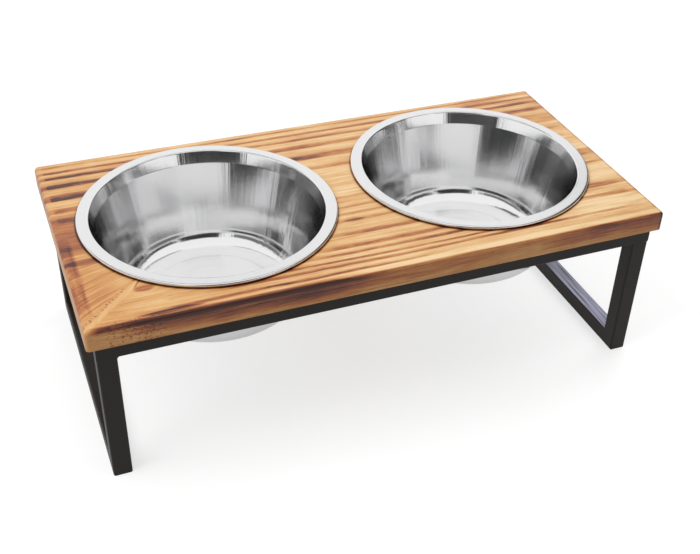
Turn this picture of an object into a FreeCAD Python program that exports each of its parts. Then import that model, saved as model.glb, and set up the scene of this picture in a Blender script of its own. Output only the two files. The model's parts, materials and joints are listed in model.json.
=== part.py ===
import FreeCAD, Part
import Sketcher
import math
import os
import re

# Raised pet feeder: a wooden board with two drop-in steel bowls on a welded stand of square tube.
# Millimetres, +Z up, +X along the length, origin on the floor under the middle of the board.

SIZES = {
    "board_thickness": (22, "board, top to underside"),
    "end_round": (4.5, "radius along the top of each board end"),
    "edge_round": (3.5, "radius round the front and back of the board"),
    "end_overhang": (8, "board past the frame at each end"),
    "side_overhang": (7, "board past the frame at front and back"),
    "frame_height": (167, "floor to the underside of the board"),
    "tube_size": (19, "square tube, outside"),
    "tube_wall": (1.5, "wall of the tube"),
    "tube_bend": (0.5, "inside corner radius of the tube"),
    "weld_width": (3, "weld bead on each of its two faces"),
    "weld_flatness": (2, "radius of a bead's hollow face past its width"),
    "screws_per_rail": (4, "screws up through each long rail"),
    "screw_end_gap": (53, "end screw to the face of the end rail"),
    "screw_cover": (6, "wood left over the point of a screw"),
    "screw_radius": (2, "over the thread"),
    "screw_point": (5, "length of the tapered point"),
    "screw_head_radius": (4, "pan head"),
    "screw_head_height": (2.5, "pan head"),
    "screw_head_bevel": (1.2, "slope round the top of the head"),
    "screw_clearance": (0.25, "hole past the screw, all round and past the point"),
    "rim_gap": (33, "between the rims of the two bowls"),
    "end_gap": (10.6, "bowl to end rail, under the board"),
    "back_gap": (5.6, "bowl to back rail, under the board"),
    "bowl_setback": (4, "bowl centres behind the middle of the board"),
    "cutout_clearance": (1, "cut-out past the bowl at the board's top"),
    "bowl_sheet": (0.8, "thickness of the pressed steel"),
    "bowl_depth": (102, "inside floor under the board's top"),
    "floor_bend": (20, "inside radius between floor and wall"),
    "wall_draw": (16.6, "wall draws in from its top to the floor's bend"),
    "wall_radius": (116.6, "inside of the wall at its top"),
    "flare_depth": (9.5, "lower end of the flare under the board's top"),
    "flare_run": (6, "top of the wall to the middle of the throat's bend, across"),
    "flare_bend": (1.2, "under radius where the wall turns into the flare"),
    "throat_bend": (1.2, "under radius where the flare turns into the rim"),
    "rim_flat": (8.8, "width of the rim between its two bends"),
    "rim_fall": (0.3, "rim falls outwards from throat to hem"),
    "hem_bend": (1.3, "inside radius where the rim turns down"),
    "hem_drop": (2, "straight edge of the hem"),
}

# Sizes that follow from the driving ones
TUBE_CORNER = "(tube_bend + tube_wall)"
THROAT_RADIUS = "(throat_bend + bowl_sheet)"
HEM_RADIUS = "(hem_bend + bowl_sheet)"
FLARE_RADIUS = "(flare_bend + bowl_sheet)"
FLOOR_RADIUS = "(wall_radius - wall_draw - floor_bend)"
BOWL_OUTSIDE = "(wall_radius + bowl_sheet)"
RIM_RADIUS = f"(wall_radius + flare_run + rim_flat + {HEM_RADIUS})"
BOWL_X = f"({RIM_RADIUS} + rim_gap / 2)"
RIM_TOP = f"(hem_drop + {HEM_RADIUS} + rim_fall)"
THROAT_RISE = f"({RIM_TOP} - {THROAT_RADIUS} + flare_depth)"
THROAT_REACH = f"sqrt(flare_run ^ 2 + {THROAT_RISE} ^ 2)"
FLARE_SLOPE = f"(atan({THROAT_RISE} / flare_run) + asin({THROAT_RADIUS} / {THROAT_REACH}))"
FLARE_AT_BOARD = f"(wall_radius + flare_depth / tan({FLARE_SLOPE}) + bowl_sheet / sin({FLARE_SLOPE}))"
CUTOUT_RADIUS = f"{FLARE_AT_BOARD} + cutout_clearance"
END_FACE = f"({BOWL_X} + {BOWL_OUTSIDE} + end_gap)"
SIDE_FACE = f"(bowl_setback + {BOWL_OUTSIDE} + back_gap)"
END_AXIS = f"({END_FACE} + tube_size / 2)"
SIDE_AXIS = f"({SIDE_FACE} + tube_size / 2)"
FRAME_LENGTH = f"(2 * ({END_FACE} + tube_size))"
FRAME_WIDTH = f"(2 * ({SIDE_FACE} + tube_size))"
BOARD_END = f"({END_FACE} + tube_size + end_overhang)"
BOARD_SIDE = f"({SIDE_FACE} + tube_size + side_overhang)"
BOARD_TOP = "frame_height + board_thickness"
RAIL_UNDERSIDE = "(frame_height - tube_size)"
RAIL_AXIS = "frame_height - tube_size / 2"
SCREW_LENGTH = "(tube_size + board_thickness - screw_cover)"
SCREW_HOLE = "screw_radius + screw_clearance"
PILOT_DEPTH = "board_thickness - screw_cover + screw_clearance"
BEAD_LENGTH = f"tube_size - 2 * {TUBE_CORNER}"

EAST = FreeCAD.Vector(1, 0, 0)
NORTH = FreeCAD.Vector(0, 1, 0)
UP = FreeCAD.Vector(0, 0, 1)
ENDS = {"left": -1, "right": 1}
SIDES = {"front": -1, "back": 1}
TOLERANCE = 1e-4

document = FreeCAD.newDocument("pet_feeder")
sheet = document.addObject("Spreadsheet::Sheet", "sizes")
for row, (alias, (size, meaning)) in enumerate(SIZES.items(), start=1):
    sheet.set(f"A{row}", meaning)
    sheet.set(f"B{row}", str(size))
    sheet.setAlias(f"B{row}", alias)
document.recompute()


def formula(text):
    """A formula on the sheet's sizes, from one written with their bare names."""
    return re.sub(r"\b[a-z_]+\b(?!\()", lambda word: f"sizes.{word.group()}", text)


def number(text):
    return float(sheet.evalExpression(formula(text)))


def same(first, second):
    return abs(first - second) < TOLERANCE


def place(piece, x, y, z, rotation=FreeCAD.Rotation()):
    piece.Placement = FreeCAD.Placement(FreeCAD.Vector(), rotation)
    for axis, text in zip("xyz", (x, y, z)):
        piece.setExpression(f"Placement.Base.{axis}", formula(text))


class Outline:
    """A sketch on one of a body's own planes, with every size tied to the sheet."""

    def __init__(self, body, name, plane):
        self.sketch = body.newObject("Sketcher::SketchObject", f"{body.Name}_{name}")
        support = next(item for item in body.Origin.OriginFeatures if item.Role == plane)
        self.sketch.AttachmentSupport = [(support, "")]
        self.sketch.MapMode = "FlatFace"

    def fix(self, *terms):
        self.sketch.addConstraint(Sketcher.Constraint(*terms))

    def size(self, kind, terms, text):
        index = self.sketch.addConstraint(Sketcher.Constraint(kind, *terms, number(text)))
        self.sketch.setExpression(f"Constraints[{index}]", formula(text))

    def across(self, item, point, text):
        self.size("DistanceX", (-1, 1, item, point), text)

    def along(self, item, point, text):
        self.size("DistanceY", (-1, 1, item, point), text)

    def line(self, start, end):
        return self.sketch.addGeometry(Part.LineSegment(FreeCAD.Vector(*start), FreeCAD.Vector(*end)))

    def arc(self, centre, radius, start, end):
        """An arc from one angle to another, in degrees, counter-clockwise."""
        circle = Part.Circle(FreeCAD.Vector(*centre), UP, radius)
        return self.sketch.addGeometry(Part.ArcOfCircle(circle, math.radians(start), math.radians(end)))

    def circle(self, x, y, radius):
        centre = FreeCAD.Vector(number(x), number(y), 0)
        item = self.sketch.addGeometry(Part.Circle(centre, UP, number(radius)))
        self.across(item, 3, x)
        self.along(item, 3, y)
        self.size("Radius", (item,), radius)

    def polygon(self, corners):
        places = [(number(x), number(y)) for x, y in corners]
        lines = [self.line(start, end) for start, end in zip(places, places[1:] + places[:1])]
        for item, following, (x, y) in zip(lines, lines[1:] + lines[:1], corners):
            self.fix("Coincident", item, 2, following, 1)
            self.across(item, 1, x)
            self.along(item, 1, y)

    def rounded_square(self, half, radius):
        """A square about the origin with rounded corners, from its half width."""
        reach = number(half)
        bend = number(radius)
        flat = reach - bend
        turns = ((1, 0), (0, 1), (-1, 0), (0, -1))
        lines = []
        arcs = []
        for quarter, (x, y) in enumerate(turns):
            start = (reach * x + flat * y, reach * y - flat * x)
            end = (reach * x - flat * y, reach * y + flat * x)
            lines.append(self.line(start, end))
            arcs.append(self.arc((flat * (x - y), flat * (x + y)), bend, 90 * quarter, 90 * (quarter + 1)))
        for quarter, (x, y) in enumerate(turns):
            self.fix("Tangent", lines[quarter], 2, arcs[quarter], 1)
            self.fix("Tangent", arcs[quarter], 2, lines[(quarter + 1) % 4], 1)
            self.fix("Vertical" if x else "Horizontal", lines[quarter])
            if x:
                self.across(lines[quarter], 1, f"{x} * ({half})")
            else:
                self.along(lines[quarter], 1, f"{y} * ({half})")
            if quarter:
                self.fix("Equal", arcs[0], arcs[quarter])
        self.size("Radius", (arcs[0],), radius)


def new_body(label):
    body = document.addObject("PartDesign::Body", label)
    body.Label = label
    return body


def pad(body, outline, length):
    """A solid that reaches half the length to each side of its sketch."""
    feature = body.newObject("PartDesign::Pad", f"{body.Name}_pad")
    feature.Profile = outline.sketch
    feature.SideType = "Symmetric"
    feature.setExpression("Length", formula(length))


def revolve(body, outline):
    feature = body.newObject("PartDesign::Revolution", f"{body.Name}_turned")
    feature.Profile = outline.sketch
    feature.ReferenceAxis = (outline.sketch, ["V_Axis"])
    feature.Angle = 360


def cut_through(body, outline):
    feature = body.newObject("PartDesign::Pocket", f"{outline.sketch.Name}_cut")
    feature.Profile = outline.sketch
    feature.SideType = "Symmetric"
    feature.Type = "ThroughAll"


def cut_upwards(body, outline, depth):
    feature = body.newObject("PartDesign::Pocket", f"{outline.sketch.Name}_cut")
    feature.Profile = outline.sketch
    feature.Reversed = True
    feature.setExpression("Length", formula(depth))


def round_edges(body, name, radius, wanted):
    """Round the edges of the body so far whose boxes are wanted."""
    document.recompute()
    base = body.Tip
    names = [f"Edge{index}" for index, edge in enumerate(base.Shape.Edges, start=1) if wanted(edge.BoundBox)]
    feature = body.newObject("PartDesign::Fillet", f"{body.Name}_{name}")
    feature.Base = (base, names)
    feature.setExpression("Radius", formula(radius))


def screw_places():
    """Distances of a rail's screws from its middle, evenly spaced between the end screws."""
    count = int(number("screws_per_rail"))
    shares = [2 * index / (count - 1) - 1 for index in range(count)]
    return [f"{share} * ({END_FACE} - screw_end_gap)" for share in shares]


def make_board():
    body = new_body("board")
    side_view = Outline(body, "side_view", "XZ_Plane")
    side_view.polygon([
        (f"-{BOARD_END}", "0"),
        (BOARD_END, "0"),
        (BOARD_END, "board_thickness"),
        (f"-{BOARD_END}", "board_thickness"),
    ])
    pad(body, side_view, f"2 * {BOARD_SIDE}")
    end = number(BOARD_END)
    side = number(BOARD_SIDE)
    top = number("board_thickness")

    def over_an_end(box):
        return same(box.ZMin, top) and same(box.XMin, box.XMax) and same(abs(box.XMin), end)

    round_edges(body, "end_rounds", "end_round", over_an_end)
    cutouts = Outline(body, "cutouts", "XY_Plane")
    for sign in ENDS.values():
        cutouts.circle(f"{sign} * {BOWL_X}", "bowl_setback", CUTOUT_RADIUS)
    cut_through(body, cutouts)
    pilots = Outline(body, "pilots", "XY_Plane")
    for sign in SIDES.values():
        for x in screw_places():
            pilots.circle(x, f"{sign} * {SIDE_AXIS}", SCREW_HOLE)
    cut_upwards(body, pilots, PILOT_DEPTH)

    def round_a_long_face(box):
        return same(box.YMin, box.YMax) and same(abs(box.YMin), side) and not same(box.ZMax, 0)

    round_edges(body, "edge_rounds", "edge_round", round_a_long_face)
    place(body, "0", "0", "frame_height")
    return body


def make_tube(label, length, inner, run, mitred_ends, screws=()):
    """A square tube along run, with the side that faces inner cut back at each mitred end."""
    body = new_body(label)
    section = Outline(body, "section", "XY_Plane")
    section.rounded_square("tube_size / 2", TUBE_CORNER)
    section.rounded_square("tube_size / 2 - tube_wall", "tube_bend")
    pad(body, section, length)
    mitres = Outline(body, "mitres", "XZ_Plane")
    for sign in mitred_ends:
        end = f"{sign} * {length} / 2"
        mitres.polygon([
            ("-tube_size / 2", end),
            ("tube_size / 2", f"{end} - {sign} * tube_size"),
            ("tube_size / 2", end),
        ])
    cut_through(body, mitres)
    if screws:
        holes = Outline(body, "screw_holes", "XZ_Plane")
        for distance in screws:
            holes.circle("0", distance, SCREW_HOLE)
        cut_through(body, holes)
    return body, FreeCAD.Rotation(inner, run.cross(inner), run, "ZXY")


def make_frame():
    """Top rails mitred into a rectangle, legs under its corners and a floor rail between each end's legs."""
    tubes = []
    both = (-1, 1)
    for side, sign in SIDES.items():
        rail, turn = make_tube(f"top_rail_{side}", FRAME_LENGTH, NORTH * -sign, EAST, both, screw_places())
        place(rail, "0", f"{sign} * {SIDE_AXIS}", RAIL_AXIS, turn)
        tubes.append(rail)
    for end, sign in ENDS.items():
        rail, turn = make_tube(f"top_rail_{end}", FRAME_WIDTH, EAST * -sign, NORTH, both)
        place(rail, f"{sign} * {END_AXIS}", "0", RAIL_AXIS, turn)
        tubes.append(rail)
        rail, turn = make_tube(f"floor_rail_{end}", FRAME_WIDTH, UP, NORTH, both)
        place(rail, f"{sign} * {END_AXIS}", "0", "tube_size / 2", turn)
        tubes.append(rail)
        for side, depth in SIDES.items():
            leg, turn = make_tube(f"leg_{side}_{end}", RAIL_UNDERSIDE, NORTH * -depth, UP, (-1,))
            place(leg, f"{sign} * {END_AXIS}", f"{depth} * {SIDE_AXIS}", f"{RAIL_UNDERSIDE} / 2", turn)
            tubes.append(leg)
    return tubes


def make_bead():
    """One weld bead in a right-angled corner, with a slightly hollow face."""
    body = new_body("weld_bead")
    section = Outline(body, "section", "XY_Plane")
    width = number("weld_width")
    foot = section.line((0, 0), (width, 0))
    face = section.arc((width, width), width, 180, 270)
    back = section.line((0, width), (0, 0))
    section.fix("Coincident", foot, 2, face, 2)
    section.fix("Coincident", face, 1, back, 1)
    section.fix("Coincident", back, 2, foot, 1)
    section.fix("Coincident", foot, 1, -1, 1)
    section.fix("Horizontal", foot)
    section.fix("Vertical", back)
    section.across(foot, 2, "weld_width")
    section.along(back, 1, "weld_width")
    section.size("Radius", (face,), "weld_width + weld_flatness")
    pad(body, section, BEAD_LENGTH)
    return body


def make_group(label, piece, places):
    """Copies of one piece as a single node of separate solids."""
    copies = []
    for index, (x, y, z, turn) in enumerate(places, start=1):
        copy = document.addObject("App::Link", f"{label}_{index}")
        copy.LinkedObject = piece
        place(copy, x, y, z, turn)
        copies.append(copy)
    group = document.addObject("Part::Compound", label)
    group.Label = label
    group.Links = copies
    return group


def corner_turn(first, second):
    """The turn that lays a bead's two faces along two directions."""
    return FreeCAD.Rotation(first, second, first.cross(second), "ZXY")


def make_welds():
    bead = make_bead()
    leg_beads = []
    floor_beads = []
    top_beads = []
    for end in ENDS.values():
        for side in SIDES.values():
            inwards = EAST * -end
            midwards = NORTH * -side
            end_face = f"{end} * {END_FACE}"
            side_face = f"{side} * {SIDE_FACE}"
            end_axis = f"{end} * {END_AXIS}"
            side_axis = f"{side} * {SIDE_AXIS}"
            leg_beads.append((end_face, side_axis, RAIL_UNDERSIDE, corner_turn(inwards, -UP)))
            leg_beads.append((end_axis, side_face, RAIL_UNDERSIDE, corner_turn(midwards, -UP)))
            floor_beads.append((end_axis, side_face, "tube_size", corner_turn(midwards, UP)))
            top_beads.append((end_face, side_face, RAIL_AXIS, corner_turn(inwards, midwards)))
    return [
        make_group("leg_welds", bead, leg_beads),
        make_group("floor_corner_welds", bead, floor_beads),
        make_group("top_corner_welds", bead, top_beads),
    ]


def make_screws():
    """Pan-head wood screws, head down, up through both walls of the long rails into the board."""
    screw = new_body("board_screw")
    half = Outline(screw, "half", "XZ_Plane")
    half.polygon([
        ("0", "-screw_head_height"),
        ("screw_head_radius - screw_head_bevel", "-screw_head_height"),
        ("screw_head_radius", "-screw_head_height + screw_head_bevel"),
        ("screw_head_radius", "0"),
        ("screw_radius", "0"),
        ("screw_radius", f"{SCREW_LENGTH} - screw_point"),
        ("0", SCREW_LENGTH),
    ])
    revolve(screw, half)
    upright = FreeCAD.Rotation()
    places = []
    for side in SIDES.values():
        for x in screw_places():
            places.append((x, f"{side} * {SIDE_AXIS}", RAIL_UNDERSIDE, upright))
    return make_group("board_screws", screw, places)


def bowl_face(half, offset):
    """One face of the pressed sheet, from the middle of the floor to the lower edge of the hem."""
    under = number(offset)
    depth = number("bowl_depth")
    floor = number(FLOOR_RADIUS)
    floor_bend = number("floor_bend")
    wall = number("wall_radius")
    wall_top = -number("flare_depth")
    flare_bend = number(FLARE_RADIUS)
    throat = number("wall_radius + flare_run")
    throat_bend = number(THROAT_RADIUS)
    hem_bend = number(HEM_RADIUS)
    hem_top = number("hem_drop")
    rim_edge = number(RIM_RADIUS)
    rim_top = hem_top + hem_bend
    # First slopes of wall and flare in degrees from upright, which the tangents then settle
    lean = 10
    splay = 25
    floor_line = half.line((0, -depth - under), (floor, -depth - under))
    floor_arc = half.arc((floor, floor_bend - depth), floor_bend + under, -90, -lean)
    wall_line = half.line((floor + floor_bend + under, floor_bend - depth), (wall + under, wall_top))
    flare_arc = half.arc((wall + flare_bend, wall_top), flare_bend - under, 180 - splay, 180 - lean)
    flare_line = half.line((wall + under, wall_top), (throat - throat_bend + under, rim_top - throat_bend))
    throat_arc = half.arc((throat, rim_top - throat_bend), throat_bend - under, 90, 180 - splay)
    rim_line = half.line((throat, rim_top - under), (rim_edge - hem_bend, rim_top - under))
    hem_arc = half.arc((rim_edge - hem_bend, hem_top), hem_bend - under, 0, 90)
    hem_line = half.line((rim_edge - under, hem_top), (rim_edge - under, 0))
    half.fix("Tangent", floor_line, 2, floor_arc, 1)
    half.fix("Tangent", floor_arc, 2, wall_line, 1)
    half.fix("Tangent", wall_line, 2, flare_arc, 2)
    half.fix("Tangent", flare_arc, 1, flare_line, 1)
    half.fix("Tangent", flare_line, 2, throat_arc, 2)
    half.fix("Tangent", throat_arc, 1, rim_line, 1)
    half.fix("Tangent", rim_line, 2, hem_arc, 2)
    half.fix("Tangent", hem_arc, 1, hem_line, 1)
    half.fix("Horizontal", floor_line)
    half.fix("Vertical", hem_line)
    half.fix("PointOnObject", floor_line, 1, -2)
    half.size("Radius", (floor_arc,), f"floor_bend + {offset}")
    half.size("Radius", (flare_arc,), f"{FLARE_RADIUS} - {offset}")
    half.size("Radius", (throat_arc,), f"{THROAT_RADIUS} - {offset}")
    half.size("Radius", (hem_arc,), f"{HEM_RADIUS} - {offset}")
    return floor_line, wall_line, rim_line, hem_line, (floor_arc, flare_arc, throat_arc, hem_arc)


def make_bowl(label, sign):
    """A bowl pressed from one sheet, hung by its rim with the hem's edge on the board."""
    bowl = new_body(label)
    half = Outline(bowl, "half", "XZ_Plane")
    floor_line, wall_line, rim_line, hem_line, arcs = bowl_face(half, "0")
    under_floor, _, _, under_hem, under_arcs = bowl_face(half, "bowl_sheet")
    for upper, lower in zip(arcs, under_arcs):
        half.fix("Coincident", upper, 3, lower, 3)
    half.along(floor_line, 1, "-bowl_depth")
    half.across(floor_line, 2, FLOOR_RADIUS)
    half.across(wall_line, 2, "wall_radius")
    half.along(wall_line, 2, "-flare_depth")
    half.across(rim_line, 1, "wall_radius + flare_run")
    half.size("DistanceY", (rim_line, 2, rim_line, 1), "rim_fall")
    half.along(hem_line, 1, "hem_drop")
    half.across(hem_line, 2, RIM_RADIUS)
    half.fix("PointOnObject", hem_line, 2, -1)
    edge = half.line((number(RIM_RADIUS), 0), (number(f"{RIM_RADIUS} - bowl_sheet"), 0))
    half.fix("Coincident", edge, 1, hem_line, 2)
    half.fix("Coincident", edge, 2, under_hem, 2)
    half.fix("Horizontal", edge)
    middle = half.line((0, number("-bowl_depth - bowl_sheet")), (0, number("-bowl_depth")))
    half.fix("Coincident", middle, 1, under_floor, 1)
    half.fix("Coincident", middle, 2, floor_line, 1)
    revolve(bowl, half)
    place(bowl, f"{sign} * {BOWL_X}", "bowl_setback", BOARD_TOP)
    return bowl


sub_parts = [make_board()]
sub_parts += make_frame()
sub_parts += make_welds()
sub_parts.append(make_screws())
sub_parts += [make_bowl(f"bowl_{end}", sign) for end, sign in ENDS.items()]
document.recompute()

failed = [item.Name for item in document.Objects if {"Invalid", "Error"} & set(item.State)]
failed += [part.Label for part in sub_parts if part.Shape.isNull() or not part.Shape.isValid()]
if failed:
    raise RuntimeError(f"not built: {failed}")
os.makedirs("parts", exist_ok=True)
for part in sub_parts:
    part.Shape.exportStep(f"parts/{part.Label}.step")
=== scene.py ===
import json
import math

import bmesh
import bpy
from mathutils import Matrix, Vector


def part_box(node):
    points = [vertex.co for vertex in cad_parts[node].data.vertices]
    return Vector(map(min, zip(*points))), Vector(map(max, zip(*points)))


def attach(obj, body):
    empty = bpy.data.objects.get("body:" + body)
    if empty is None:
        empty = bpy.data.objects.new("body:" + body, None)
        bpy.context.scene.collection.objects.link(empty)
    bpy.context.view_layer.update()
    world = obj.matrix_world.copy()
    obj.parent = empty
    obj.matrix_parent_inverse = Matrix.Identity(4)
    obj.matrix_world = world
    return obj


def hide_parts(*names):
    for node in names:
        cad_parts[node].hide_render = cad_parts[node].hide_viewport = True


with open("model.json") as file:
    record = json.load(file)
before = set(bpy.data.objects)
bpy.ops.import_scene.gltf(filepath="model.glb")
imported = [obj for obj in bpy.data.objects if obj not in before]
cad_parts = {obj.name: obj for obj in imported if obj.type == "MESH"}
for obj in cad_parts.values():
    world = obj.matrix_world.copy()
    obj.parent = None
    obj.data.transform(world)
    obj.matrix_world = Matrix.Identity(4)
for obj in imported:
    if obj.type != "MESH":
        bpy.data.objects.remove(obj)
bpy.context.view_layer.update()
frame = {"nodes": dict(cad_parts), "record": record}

MM = 0.001
BOARD_LOW, BOARD_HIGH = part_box("board")
BOARD_TOP = BOARD_HIGH.z
BOWLS = {"bowl_left": "left_bowl", "bowl_right": "right_bowl"}


# Camera, in metres, degrees and shares of the picture's width
CAMERA_PLACE = Vector((-0.3628, -0.9080, 0.7830))
CAMERA_YAW = 23.953
CAMERA_PITCH = 36.252
CAMERA_ROLL = -2.719
CAMERA_LENS = 54.45
CAMERA_SHIFT = (-0.0369, 0.0076)


def add_camera():
    """The photograph's view: turned from +Y towards +X, tipped down, and rolled a little."""
    yaw, pitch, roll = (math.radians(angle) for angle in (CAMERA_YAW, CAMERA_PITCH, CAMERA_ROLL))
    forward = Vector((math.sin(yaw) * math.cos(pitch), math.cos(yaw) * math.cos(pitch), -math.sin(pitch)))
    level = Vector((math.cos(yaw), -math.sin(yaw), 0.0))
    down = forward.cross(level)
    right = math.cos(roll) * level + math.sin(roll) * down
    up = math.sin(roll) * level - math.cos(roll) * down
    lens = bpy.data.cameras.new("photo_camera")
    lens.lens = CAMERA_LENS
    lens.sensor_fit = "HORIZONTAL"
    lens.shift_x, lens.shift_y = CAMERA_SHIFT
    camera = bpy.data.objects.new("photo_camera", lens)
    turn = Matrix((right, up, -forward)).transposed().to_4x4()
    camera.matrix_world = Matrix.Translation(CAMERA_PLACE) @ turn
    bpy.context.scene.collection.objects.link(camera)
    bpy.context.scene.camera = camera


# Shader maths
class Signal:
    """An output socket of a node tree. Arithmetic on signals adds Math nodes."""

    def __init__(self, tree, socket=None):
        self.tree = tree
        self.socket = socket

    def node(self, kind, settings=None, sockets=None, output=0):
        """Adds a node: its settings first, then a value or a signal for each of its sockets."""
        made = self.tree.nodes.new("ShaderNode" + kind)
        for name, value in (settings or {}).items():
            if name == "stops":
                place_stops(made.color_ramp, value)
            else:
                setattr(made, name, value)
        for place, value in (sockets or {}).items():
            if isinstance(value, Signal):
                self.tree.links.new(value.socket, made.inputs[place])
            else:
                made.inputs[place].default_value = value
        return Signal(self.tree, made.outputs[output] if made.outputs else None)

    def beside(self, output):
        """Another output of the node that this signal comes from."""
        return Signal(self.tree, self.socket.node.outputs[output])

    def math(self, operation, *values):
        return self.node("Math", {"operation": operation}, dict(enumerate(values)))

    def __add__(self, other):
        return self.math("ADD", self, other)

    def __sub__(self, other):
        return self.math("SUBTRACT", self, other)

    def __rsub__(self, other):
        return self.math("SUBTRACT", other, self)

    def __mul__(self, other):
        return self.math("MULTIPLY", self, other)

    def __truediv__(self, other):
        return self.math("DIVIDE", self, other)

    def __pow__(self, other):
        return self.math("POWER", self, other)

    def __abs__(self):
        return self.math("ABSOLUTE", self)

    __radd__ = __add__
    __rmul__ = __mul__

    def rise(self, low, high):
        """0 below low, 1 above high and a smooth rise between them. It falls where low is above high."""
        settings = {"interpolation_type": "SMOOTHSTEP"}
        return self.node("MapRange", settings, {0: self, 1: low, 2: high})

    def most(self, other):
        return self.math("MAXIMUM", self, other)

    def sign(self):
        return self.math("SIGN", self)

    def blend(self, first, second):
        """From the first colour to the second as this signal goes from 0 to 1."""
        return self.node("Mix", {"data_type": "RGBA"}, {0: self, 6: first, 7: second}, output=2)

    def towards(self, other, share):
        """This signal where the share is 0 and the other one where it is 1."""
        return self + (other - self) * share

    def point(self, x, y, z):
        return self.node("CombineXYZ", None, {0: x, 1: y, 2: z})

    def noise(self, place, detail=2.0, roughness=0.5):
        """Smooth noise from 0 to 1, one wave to a unit of the place."""
        sockets = {"Vector": place, "Scale": 1.0, "Detail": detail, "Roughness": roughness}
        return self.node("TexNoise", None, sockets)


def place_stops(ramp, stops):
    """Gives a colour ramp its stops, each a place from 0 to 1 and a colour."""
    for place, colour in stops[2:]:
        ramp.elements.new(place)
    for element, (place, colour) in zip(ramp.elements, stops):
        element.position = place
        element.color = colour


def srgb(red, green, blue):
    """A colour as a screen shows it, 0 to 255, as linear light with full opacity."""
    def linear(level):
        share = level / 255
        return share / 12.92 if share <= 0.04045 else ((share + 0.055) / 1.055) ** 2.4
    return (linear(red), linear(green), linear(blue), 1.0)


def start_finish(name):
    """A material with a Principled shader. Gives the material, its shader and its Object coordinates."""
    material = bpy.data.materials.new(name)
    material.use_nodes = True
    shader = material.node_tree.nodes["Principled BSDF"]
    place = Signal(material.node_tree).node("TexCoord", output="Object")
    parts = place.node("SeparateXYZ", None, {0: place})
    return material, shader, (parts, parts.beside(1), parts.beside(2))


def finish(shader, fixed=None, varying=None):
    """Sets a shader's constant sockets and links its varying ones."""
    for name, value in (fixed or {}).items():
        shader.inputs[name].default_value = value
    for name, signal in (varying or {}).items():
        signal.tree.links.new(signal.socket, shader.inputs[name])


def bump(height, strength, distance):
    return height.node("Bump", None, {"Strength": strength, "Distance": distance, "Height": height})


def waves(place, lengths, detail=2.0, roughness=0.5):
    """Smooth noise from 0 to 1 whose waves have a length along each of three directions."""
    scaled = [along / length for along, length in zip(place, lengths)]
    return place[0].noise(place[0].point(*scaled), detail, roughness)


def from_bowl_axis(x, y):
    """How far a point lies from the axis of its bowl: to the side, to the back, and in all."""
    low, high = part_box("bowl_right")
    sideways = abs(x) - (low.x + high.x) / 2
    depth = y - (low.y + high.y) / 2
    return sideways, depth, (sideways * sideways + depth * depth) ** 0.5


# Wood: one plain-sawn board with its growth rings about a pith under it, flame-burnt, brushed and varnished.
# Places on it are millimetres from its left end, its back edge, its front edge and its top.
BOARD_LENGTH = (BOARD_HIGH.x - BOARD_LOW.x) / MM
BOARD_WIDTH = (BOARD_HIGH.y - BOARD_LOW.y) / MM
PITH_FROM_BACK = 155
PITH_DEPTH = 60
FAN_REACH = 130
# Each dark ring: its start and stop from the back, its darkness, its start and stop from the left
DARK_RINGS = [
    (5.5, 10.5, 0.50, -50, 700),
    (16, 22.5, 0.60, -50, 700),
    (27, 35, 0.75, -50, 700),
    (43, 54.5, 0.90, -50, 700),
    (65, 80.5, 0.80, -50, 500),
    (92, 104, 0.45, -50, 700),
    (110, 124, 0.35, -50, 120),
    (114, 122, 0.40, 500, 700),
    (132, 141, 0.50, 510, 700),
    (160, 169, 0.42, 200, 700),
    (172, 178, 0.22, 240, 420),
    (182, 189, 0.36, 260, 700),
    (195, 202, 0.32, 220, 420),
    (205, 213, 0.36, 260, 400),
    (227, 237, 0.52, 270, 700),
    (249, 258.5, 0.60, 250, 700),
    (262, 268.5, 0.76, 220, 430),
    (273, 278, 0.72, 170, 430),
    (280, 286, 0.68, 140, 700),
    (291, 297, 0.55, 70, 340),
]
RING_FADE = 40
# Each soft mark: its middle from the left and the back, its reach along and across, its darkness
KNOTS = [
    ((64, 258), (12, 6), 0.40),
    ((292, 211), (14, 3.5), 0.35),
]
STAINS = [
    ((20, 198), (30, 7), 0.40),
    ((80, 298.5), (36, 3.4), 0.60),
]
WOOD_TONES = [
    (0.00, srgb(241, 209, 161)),
    (0.20, srgb(227, 184, 128)),
    (0.40, srgb(208, 152, 90)),
    (0.60, srgb(182, 113, 63)),
    (0.80, srgb(145, 79, 50)),
    (1.00, srgb(68, 34, 23)),
]


def ring_at(back):
    """The distance from the pith of a point on the board's top, negative on the pith's back side."""
    across = back - PITH_FROM_BACK
    return math.copysign(math.hypot(across, PITH_DEPTH), across)


def dark_ring(ring, end, start, stop, dark, left, right):
    """One ring of late wood: it darkens slowly towards the front and stops sharply."""
    low = ring_at(start)
    high = ring_at(stop)
    reach = high - low
    band = ring.rise(low, low + 0.65 * reach) * ring.rise(high + 0.15 * reach, high - 0.15 * reach)
    if left > 0:
        band = band * end.rise(left - RING_FADE, left + RING_FADE)
    if right < BOARD_LENGTH:
        band = band * end.rise(right + RING_FADE, right - RING_FADE)
    return band * dark


def spot(end, back, middle, reach):
    """A soft oval mark on the board's top: 1 in its middle and 0 outside its reach."""
    along = (end - middle[0]) / reach[0]
    across = (back - middle[1]) / reach[1]
    return (along * along + across * across).rise(1.0, 0.15)


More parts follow.
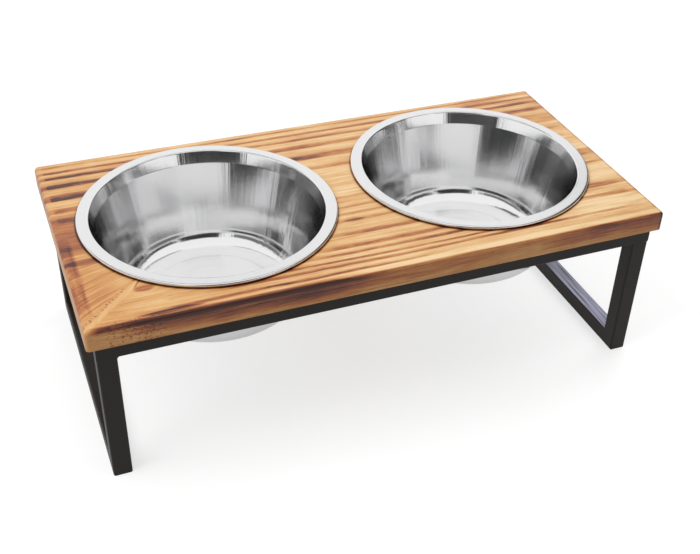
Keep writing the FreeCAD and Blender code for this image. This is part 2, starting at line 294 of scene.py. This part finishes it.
class Board:
    """Places on the board, the run of its grain, and the noise that several of its marks share."""

    def __init__(self, x, y, z):
        self.end = (x - BOARD_LOW.x) / MM
        self.back = (BOARD_HIGH.y - y) / MM
        self.front = BOARD_WIDTH - self.back
        self.under = (BOARD_TOP - z) / MM
        self.crease = self.front - self.end
        self.grain = self.run_of_grain()
        across = self.grain - PITH_FROM_BACK
        depth = PITH_DEPTH - self.under
        self.ring = (across * across + depth * depth) ** 0.5 * across.sign()
        self.late = sum(dark_ring(self.ring, self.end, *row) for row in DARK_RINGS)
        self.heat = waves((self.end, self.ring, 3.7), (120, 11, 1)).rise(0.30, 0.66)
        self.cloud = (waves((self.end, self.grain, 5.0), (90, 36, 1), 4.0, 0.6) - 0.5) * 0.45
        self.fibre = self.along_grain((40, 1.5, 1.5), 3.0, 0.65) - 0.5
        self.specks = waves((self.end, self.back, self.under), (3.5, 2.0, 2.0), 2.0, 0.7).rise(0.54, 0.64)
        self.corner = self.end.rise(80, 60) * self.end.rise(12, 26)

    def run_of_grain(self):
        """The grain sways along the board, and fans out from a crease at the front left corner."""
        place = (self.end, self.back, self.under)
        sway = (waves(place, (420, 90, 90), detail=1.0) - 0.5) * 9
        ripple = (waves(place, (95, 24, 24)) - 0.5) * 3.2
        fan = self.end * ((FAN_REACH - self.front) / FAN_REACH).most(0.0) * self.crease.rise(-6, 6)
        return self.back + sway + ripple + fan

    def along_grain(self, lengths, detail, roughness):
        return waves((self.end, self.grain, self.under), lengths, detail, roughness)


def burnt_rings(board):
    """The dark rings: faded in the sanded strips at the ends, and burnt harder beside the left one."""
    end = board.end
    strips = (1 - end.rise(9, 5) * 0.5) * (1 - end.rise(588, 603) * 0.6) * (1 + end.rise(45, 12) * 0.3)
    waist = end.rise(200, 290) * end.rise(460, 370) * board.back.rise(80, 55)
    calm = 1 - waist * 0.3 - end.rise(440, 530) * 0.3
    grit = board.along_grain((14, 2.4, 2.4), 3.0, 0.6).rise(0.32, 0.68)
    return board.late * (0.5 + board.heat * 0.5) * (0.72 + grit * 0.42) * strips * calm


def flame_tan(board):
    """The flame's tan: deep at the left end, gold in the front left corner, in red bands at the right."""
    end = board.end
    back = board.back
    front = board.front
    left = end.rise(160, 0) * 0.12 + spot(end, back, (12, 148), (60, 45)) * 0.36
    corner = front.rise(150, 40) * end.rise(330, 60) * 0.08 + spot(end, back, (18, 235), (30, 40)) * 0.08
    right = end.rise(380, 560) * (back.rise(120, 30) * 0.08 - front.rise(110, 20) * 0.12)
    bands = end.rise(440, 530) * (board.heat - 0.42) * 0.34
    front_pale = front.rise(11, 8) * end.rise(200, 300) * 0.22
    return 0.20 + board.cloud + left + corner + right + bands - front_pale


def flaws(board):
    """A pale crease with specks beside it, knots, stains and a singed left edge."""
    end = board.end
    back = board.back
    pale = abs(board.crease).rise(6, 2) * end.rise(85, 55) * 0.10
    beside = abs(board.crease - 7).rise(4.0, 1.0) * end.rise(75, 50) * board.specks * 0.55
    front_specks = board.corner * board.front.rise(9, 4) * board.specks * 0.55
    knots = sum(spot(end, board.grain, middle, reach) * dark for middle, reach, dark in KNOTS)
    stains = sum(spot(end, back, middle, reach) * dark for middle, reach, dark in STAINS)
    uneven = waves((back, end, 1.0), (40, 14, 1), 3.0, 0.5)
    inwards = end + uneven * 6
    singed = back.rise(150, 185) * back.rise(292, 265) * uneven.rise(0.25, 0.6)
    singe = singed * (inwards.rise(16, 12) * 0.30 + abs(inwards - 14).rise(3, 0.5) * 0.16)
    return beside + front_specks + knots + stains + singe - pale


def hem_contact_shade(x, y):
    """Painted shadow: a thin dark line on the board round each bowl's hem, where the bowl's contact shadow
    falls.
    """
    low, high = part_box("bowl_right")
    sideways, depth, radius = from_bowl_axis(x, y)
    return abs(radius - (high.x - low.x) / 2).rise(2.0 * MM, 0.2 * MM) * 0.55


def scorched_face(board):
    """The front face: scorched from its top edge down, less so in the middle and at the right end."""
    end = board.end
    bare = end.rise(230, 330) * end.rise(540, 440) * 0.65 + end.rise(530, 580) * 0.35
    uneven = (waves((end, 2.0, 9.0), (60, 1, 1)) - 0.5) * 12
    scorch = (board.under + uneven).rise(20, 9) * end.rise(20, 80) * (1 - bare)
    return 0.46 + board.cloud + scorch * 0.36 + board.corner * board.specks * 0.40


def burnt_edges(board):
    """The front edge is nearly black at the left, and the right and back edges are singed."""
    end = board.end
    arris = (board.front + board.under).rise(6.0, 3.0)
    front_edge = arris * (end.rise(2, 14) * end.rise(300, 200) * 0.45 + end.rise(470, 570) * 0.12)
    right_edge = end.rise(604.5, 607) * end.rise(610, 608.5) * 0.30
    return front_edge + right_edge + board.back.rise(4, 1) * 0.25


def end_grain(board):
    """The growth rings as arcs on the board's ends, with open pores."""
    arcs = waves((board.ring, 0.0, 7.0), (3.2, 1, 1), 2.0, 0.6) - 0.5
    pores = waves((board.back, board.under, 4.0), (0.9, 0.9, 1), detail=1.0).rise(0.56, 0.70)
    return 0.44 + board.cloud * 0.6 + arcs + board.late * 0.35 + pores * 0.16


def burnt_wood():
    material, shader, (x, y, z) = start_finish("burnt_wood")
    board = Board(x, y, z)
    end = board.end
    rings = burnt_rings(board)
    # The top takes a painted shadow line round each bowl's hem.
    top = flame_tan(board) + rings + flaws(board) + hem_contact_shade(x, y)
    char = top.towards(scorched_face(board), board.front.rise(3.0, 0.8)) + burnt_edges(board)

    # Fibres, calmer along the crease
    streak = board.along_grain((120, 4.5, 4.5), 3.0, 0.6) - 0.5
    flecks = board.along_grain((9, 1.6, 1.6), 2.0, 0.6).rise(0.60, 0.74)
    plain = 1 - abs(board.crease).rise(16, 5) * end.rise(95, 60) * 0.75
    char = char + (board.fibre * 0.70 + streak * 0.55) * plain + flecks * 0.14
    char = char.towards(end_grain(board), end.rise(1.2, 0.3) + end.rise(608.8, 609.7))
    finish(
        shader,
        {"Coat Weight": 0.2, "Coat Roughness": 0.25, "Specular IOR Level": 0.4},
        {
            "Base Color": char.node("ValToRGB", {"stops": WOOD_TONES}, {0: char}),
            "Roughness": 0.42 + board.fibre * 0.2,
            "Normal": bump(rings * 0.8 + board.fibre * 0.5, 0.5, 0.5 * MM),
        },
    )
    return material


# Steel bowls, spun from one profile
BOWL_SHEET = 0.8 * MM
BOWL_FLOOR = -102 * MM
FLOOR_FLAT = 80 * MM
FLOOR_BEND = 20 * MM
FLOOR_DISC = 64 * MM
FLOOR_STEP = 6 * MM
FLOOR_RISE = 1.0 * MM
WALL_FOOT = (99.524 * MM, -86.339 * MM)
WALL_HEAD = (116.6 * MM, -9.5 * MM)
FLARE_SLOPE = 72.1
FLARE_BEND = 2.0 * MM
FLARE_PLACE = (118.552 * MM, -9.934 * MM)
THROAT_BEND = 2.0 * MM
THROAT_PLACE = (122.532 * MM, 2.399 * MM)
RIM_FALL = 1.94
HEM_BEND = 2.1 * MM
HEM_PLACE = (131.4 * MM, 2.0 * MM)
BOWL_TURNS = 288


def arc(centre, radius, start, end, steps):
    """Points on an arc between two angles in degrees, both ends included."""
    points = []
    for step in range(steps + 1):
        angle = math.radians(start + (end - start) * step / steps)
        points.append((centre[0] + radius * math.cos(angle), centre[1] + radius * math.sin(angle)))
    return points


def straight(start, end, steps):
    """Points between two ends of a line, neither end included."""
    points = []
    for step in range(1, steps):
        points.append(tuple(first + (last - first) * step / steps for first, last in zip(start, end)))
    return points


def bowl_profile():
    """The inner face from the middle of the floor out to the hem, as radius and height over the board."""
    points = [(0.0, BOWL_FLOOR + FLOOR_RISE)]
    for step in range(1, 9):
        points.append((FLOOR_DISC * step / 8, BOWL_FLOOR + FLOOR_RISE))
    for step in range(1, 9):
        drop = (1 + math.cos(math.pi * step / 8)) / 2
        points.append((FLOOR_DISC + FLOOR_STEP * step / 8, BOWL_FLOOR + FLOOR_RISE * drop))
    lean = math.degrees(math.atan2(WALL_HEAD[1] - WALL_FOOT[1], WALL_HEAD[0] - WALL_FOOT[0]))
    points += arc((FLOOR_FLAT, BOWL_FLOOR + FLOOR_BEND), FLOOR_BEND, -90, lean - 90, 18)
    points += straight(WALL_FOOT, WALL_HEAD, 60)
    crease = arc(FLARE_PLACE, FLARE_BEND, 90 + lean, 90 + FLARE_SLOPE, 2)
    throat = arc(THROAT_PLACE, THROAT_BEND, 90 + FLARE_SLOPE, 90 - RIM_FALL, 12)
    hem = arc(HEM_PLACE, HEM_BEND, 90 - RIM_FALL, 0, 12)
    points += crease + straight(crease[-1], throat[0], 8)
    points += throat + straight(throat[-1], hem[0], 8)
    points += hem
    points.append((HEM_PLACE[0] + HEM_BEND, 0.0))
    return points


def spun_bowl(name, node, material):
    """A pressed bowl: its profile spun about the bowl's axis, then given the sheet's thickness."""
    low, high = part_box(node)
    centre = Vector(((low.x + high.x) / 2, (low.y + high.y) / 2, BOARD_TOP))
    mesh = bmesh.new()
    line = [mesh.verts.new(centre + Vector((radius, 0, height))) for radius, height in bowl_profile()]
    edges = [mesh.edges.new(pair) for pair in zip(line, line[1:])]
    bmesh.ops.spin(
        mesh, geom=line + edges, cent=centre, axis=(0, 0, 1), angle=math.tau, steps=BOWL_TURNS, use_merge=True
    )
    bmesh.ops.remove_doubles(mesh, verts=mesh.verts, dist=0.001 * MM)
    bmesh.ops.recalc_face_normals(mesh, faces=mesh.faces)
    floor_face = min(mesh.faces, key=lambda face: (face.calc_center_median() - centre).xy.length)
    if floor_face.normal.z < 0:
        bmesh.ops.reverse_faces(mesh, faces=mesh.faces)
    bmesh.ops.solidify(mesh, geom=mesh.faces[:], thickness=BOWL_SHEET)
    return add_piece(name, mesh, material, crease=50)


def add_piece(name, mesh, material, crease=30):
    """Makes an object of a bmesh, smooth but for edges sharper than the crease angle."""
    data = bpy.data.meshes.new(name)
    mesh.to_mesh(data)
    mesh.free()
    for face in data.polygons:
        face.use_smooth = True
    data.set_sharp_from_angle(angle=math.radians(crease))
    data.materials.append(material)
    piece = bpy.data.objects.new(name, data)
    bpy.context.scene.collection.objects.link(piece)
    return piece


def bowl_steel():
    """Polished inside, faintly fluted down the wall by drawing, with a satin rim, a floor painted brighter as
    a highlight, and painted shade and reflection on the hem's outer face.
    """
    material, shader, (x, y, z) = start_finish("bowl_steel")
    sideways, depth, radius = from_bowl_axis(x, y)
    east = sideways / radius
    north = depth / radius
    rim = radius.rise(120.5 * MM, 123 * MM)
    # Painted shade and reflection: the lower hem is coloured dark brown-grey, standing in for the mirrored
    # board and the contact shadow.
    hem = radius.rise(133.0 * MM, 133.4 * MM) * (z - BOARD_TOP).rise(2.4 * MM, 1.4 * MM)
    floor = radius.rise(92 * MM, 78 * MM)
    wall = (1 - rim) * (1 - floor)
    spin_lines = x.noise(x.point(radius * 1800, z * 1800, 0.0), detail=2.0, roughness=0.7)
    flutes = x.noise(x.point(east * 5, north * 5, z * 2), detail=2.0, roughness=0.6)
    scores = x.noise(x.point(east * 60, north * 60, z * 6), detail=2.0, roughness=0.6)
    smudge = x.noise(x.point(x * 18, y * 18, z * 18), detail=3.0)
    rings = x.noise(x.point(radius * 130, 0.0, 0.0), detail=1.0)
    # Painted highlight: the floor's steel is coloured brighter than the wall's.
    steel = floor.blend(smudge.blend(srgb(231, 231, 232), srgb(242, 242, 242)), srgb(250, 250, 250))
    satin = (rim * 0.8).blend(steel, srgb(234, 234, 235))
    height = spin_lines * 0.02 + wall * (flutes * 1.1 + scores * 0.16) + floor * rings * 0.25
    finish(
        shader,
        {"Metallic": 1.0},
        {
            "Base Color": hem.blend(satin, srgb(92, 84, 78)),
            "Roughness": 0.07 + rim * 0.13 + floor * 0.10 + smudge * 0.03 + scores * wall * 0.08,
            "Normal": bump(height, 0.6, 1.0 * MM),
        },
    )
    return material


# Painted tube
TUBE = 19 * MM
TUBE_CORNER = 2 * MM
SEAM_SEGMENTS = 6


def frame_paint():
    """Satin black paint, worn to steel along the top of the right floor rail, where a pale bluish painted
    sheen fades towards the back.
    """
    material, shader, (x, y, z) = start_finish("frame_paint")
    peel = x.noise(x.point(x * 900, y * 900, z * 900), detail=1.0)
    cloud = x.noise(x.point(x * 9, y * 9, z * 9), detail=3.0)
    brushing = x.noise(x.point(x * 420, y * 9, 0.0), detail=3.0, roughness=0.6)
    # Painted sheen: the right floor rail's top turns pale blue-white and metallic, strongest at the front and
    # faded towards the back; only the right rail has it.
    rail_top = z.rise(18.4 * MM, 18.9 * MM) * z.rise(20 * MM, 19.5 * MM) * abs(y).rise(127.5 * MM, 126 * MM)
    painted_sheen_fade = x.rise(0.0, TUBE) * (0.15 + y.rise(120 * MM, -110 * MM) * 0.85)
    wear_and_painted_sheen = rail_top * painted_sheen_fade * brushing.rise(0.25, 0.62)
    paint = cloud.blend(srgb(25, 20, 17), srgb(37, 32, 28))
    finish(
        shader,
        {"Specular IOR Level": 0.3},
        {
            "Base Color": wear_and_painted_sheen.blend(paint, srgb(212, 213, 238)),
            "Metallic": wear_and_painted_sheen,
            "Roughness": 0.40 + cloud * 0.14,
            "Normal": bump(peel, 0.12, 0.2 * MM),
        },
    )
    return material


def ground_seams(material):
    """The weld that fills the groove between each leg's head and the rails' rounded edges, ground flush."""
    mesh = bmesh.new()
    for leg in ("leg_front_left", "leg_front_right", "leg_back_left", "leg_back_right"):
        low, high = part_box(leg)
        middle = Vector(((low.x + high.x) / 2, (low.y + high.y) / 2, high.z + TUBE_CORNER / 2))
        shape = Matrix.Translation(middle) @ Matrix.Diagonal((TUBE, TUBE, TUBE_CORNER, 1.0))
        bmesh.ops.create_cube(mesh, size=1.0, matrix=shape)
    upright = [edge for edge in mesh.edges if abs(edge.verts[0].co.z - edge.verts[1].co.z) > TUBE_CORNER / 2]
    bmesh.ops.bevel(
        mesh,
        geom=upright,
        offset=TUBE_CORNER,
        offset_type="OFFSET",
        affect="EDGES",
        segments=SEAM_SEGMENTS,
        profile=0.5,
        material=-1,
    )
    return add_piece("ground_seams", mesh, material)


def screw_zinc():
    material, shader, (x, y, z) = start_finish("screw_zinc")
    bloom = x.noise(x.point(x * 300, y * 300, z * 300), detail=3.0)
    finish(
        shader,
        {"Metallic": 1.0},
        {
            "Base Color": bloom.blend(srgb(188, 188, 182), srgb(214, 214, 208)),
            "Roughness": 0.28 + bloom * 0.2,
        },
    )
    return material


# Studio
FLAG_DISTANCE = 1.6
# Each grey card: degrees from +Y towards +X, degrees over the horizon, shade
FLAGS = {
    "flag_right": ((50, 130), (2, 42), 0.05),
    "flag_side": ((130, 150), (14, 44), 0.12),
    "flag_low": ((173, 235), (1, 14), 0.04),
    "flag_front": ((156, 213), (16, 52), 0.04),
    "flag_left": ((228, 310), (20, 42), 0.18),
    "flag_top": ((-25, 50), (50, 68), 0.10),
}


def add_floor():
    material = bpy.data.materials.new("studio_floor")
    material.use_nodes = True
    tree = material.node_tree
    tree.nodes.clear()
    start = Signal(tree)
    rays = start.node("LightPath")
    seen = rays.most(rays.beside("Is Transmission Ray"))
    mirrored = rays.beside("Is Glossy Ray")
    white = (1.0, 1.0, 1.0, 1.0)
    matt = start.node("BsdfDiffuse", None, {"Color": (0.45, 0.45, 0.45, 1.0)})
    glow = start.node("Emission", None, {"Color": white, "Strength": seen * 0.66 + mirrored * 0.40})
    both = start.node("AddShader", None, {0: matt, 1: glow})
    start.node("OutputMaterial", None, {"Surface": both})
    mesh = bmesh.new()
    bmesh.ops.create_grid(mesh, x_segments=1, y_segments=1, size=6.0)
    floor = add_piece("studio_floor", mesh, material)


def add_flag(name, turns, tilts, shade):
    """A grey studio card for the steel to mirror, part of a drum round the object."""
    material = bpy.data.materials.new(name)
    material.use_nodes = True
    tree = material.node_tree
    tree.nodes.clear()
    start = Signal(tree)
    glow = start.node("Emission", None, {"Color": (shade, shade, shade, 1.0), "Strength": 1.0})
    start.node("OutputMaterial", None, {"Surface": glow})
    first, last = (math.radians(turn) for turn in turns)
    mesh = bmesh.new()
    ends = []
    side = FLAG_DISTANCE * math.sin(first)
    ahead = FLAG_DISTANCE * math.cos(first)
    for tilt in tilts:
        height = BOARD_TOP + FLAG_DISTANCE * math.tan(math.radians(tilt))
        ends.append(mesh.verts.new((side, ahead, height)))
    edge = mesh.edges.new(ends)
    bmesh.ops.spin(mesh, geom=ends + [edge], cent=(0, 0, 0), axis=(0, 0, 1), angle=first - last, steps=24)
    flag = add_piece(name, mesh, material)
    flag.visible_camera = False
    flag.visible_diffuse = False
    flag.visible_transmission = False
    flag.visible_shadow = False


def add_lamp(name, place, target, size, watts):
    lamp = bpy.data.lights.new(name, "AREA")
    lamp.shape = "RECTANGLE"
    lamp.size, lamp.size_y = size
    lamp.energy = watts
    holder = bpy.data.objects.new(name, lamp)
    holder.location = place
    holder.rotation_euler = (Vector(target) - Vector(place)).to_track_quat("-Z", "Y").to_euler()
    holder.visible_camera = False
    holder.visible_glossy = False
    bpy.context.scene.collection.objects.link(holder)


def add_world():
    world = bpy.data.worlds.new("studio")
    world.use_nodes = True
    tree = world.node_tree
    tree.nodes.clear()
    start = Signal(tree)
    rays = start.node("LightPath")
    seen = rays.most(rays.beside("Is Glossy Ray")).most(rays.beside("Is Transmission Ray"))
    strength = 0.5 + seen * 0.5
    light = start.node("Background", None, {"Color": (1.0, 1.0, 1.0, 1.0), "Strength": strength})
    start.node("OutputWorld", None, {"Surface": light})
    bpy.context.scene.world = world


def dress_nodes():
    finishes = {
        "burnt_wood": burnt_wood(),
        "bowl_steel": bowl_steel(),
        "frame_paint": frame_paint(),
        "screw_zinc": screw_zinc(),
    }
    for subpart in frame["record"]["subparts"]:
        node = frame["nodes"][subpart["node"]]
        node.data.materials.clear()
        node.data.materials.append(finishes[subpart["material_slot"]])
    return finishes


finishes = dress_nodes()
for node, body in BOWLS.items():
    bowl = spun_bowl("spun_" + node, node, finishes["bowl_steel"])
    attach(bowl, body)
    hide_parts(node)

seams = ground_seams(finishes["frame_paint"])
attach(seams, "stand")

add_camera()
add_floor()
add_world()
add_lamp("softbox_left", (-0.9, -0.2, 1.3), (0, 0, 0.15), (0.8, 1.0), 10)
add_lamp("softbox_right", (0.9, 0.4, 1.3), (0, 0, 0.15), (0.8, 1.0), 8)
for name, (turns, tilts, shade) in FLAGS.items():
    add_flag(name, turns, tilts, shade)
bpy.context.scene.view_settings.view_transform = "Standard"
